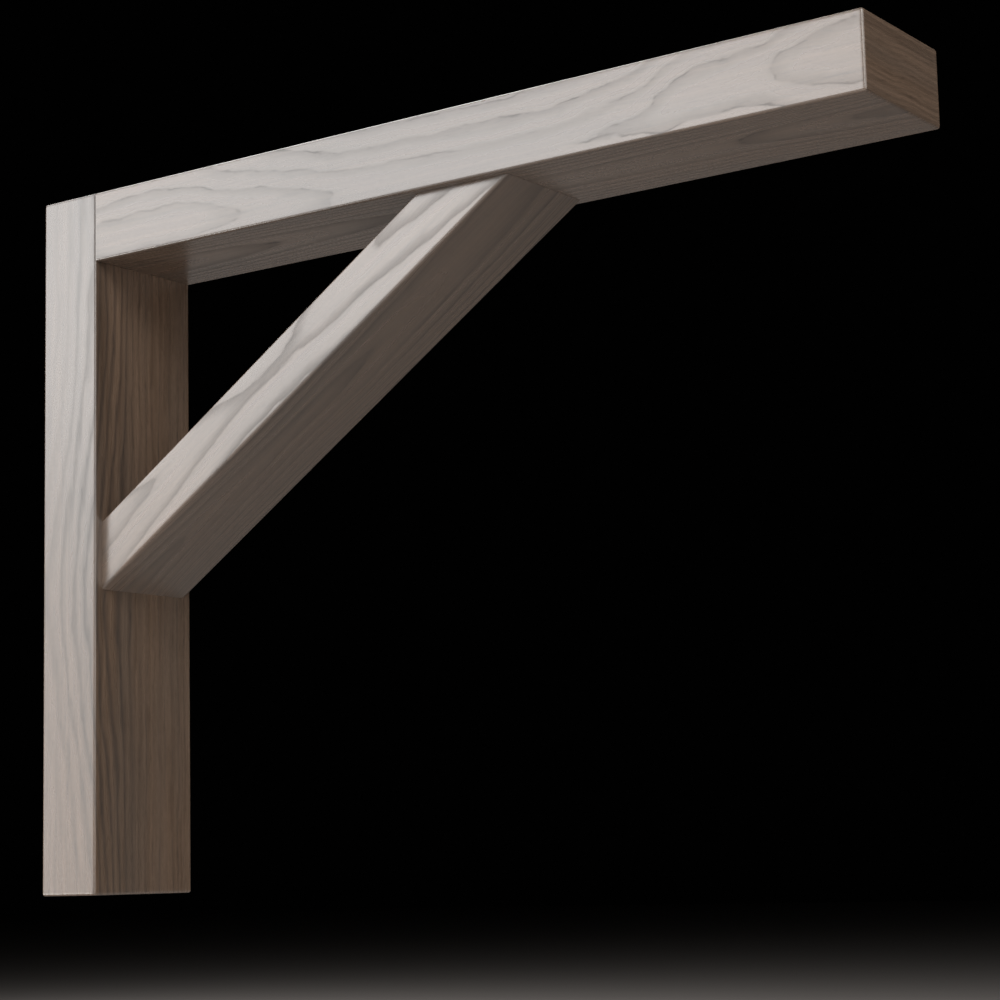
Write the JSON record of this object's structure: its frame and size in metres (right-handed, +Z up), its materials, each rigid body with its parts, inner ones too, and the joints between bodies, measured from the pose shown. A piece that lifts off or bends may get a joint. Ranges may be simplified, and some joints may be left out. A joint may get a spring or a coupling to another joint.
{
  "type": "bar bracket",
  "caption": "Plain wooden bracket: an upright post for the wall, a level arm that carries a bar top or shelf, and a slanted brace set in between them. Square-cut bars with eased edges.",
  "frame": {"origin": "middle of the post's back face, which lies against the wall", "axes": "+X straight out from the wall along the arm, +Y across the bracket, +Z up"},
  "size_m": [0.6096, 0.09, 0.4572],
  "materials": {
    "walnut": "planed and sanded, thin satin clear finish"
  },
  "bodies": {
    "root": {"post": "walnut", "arm": "walnut", "brace": "walnut"}
  },
  "joints": []
}
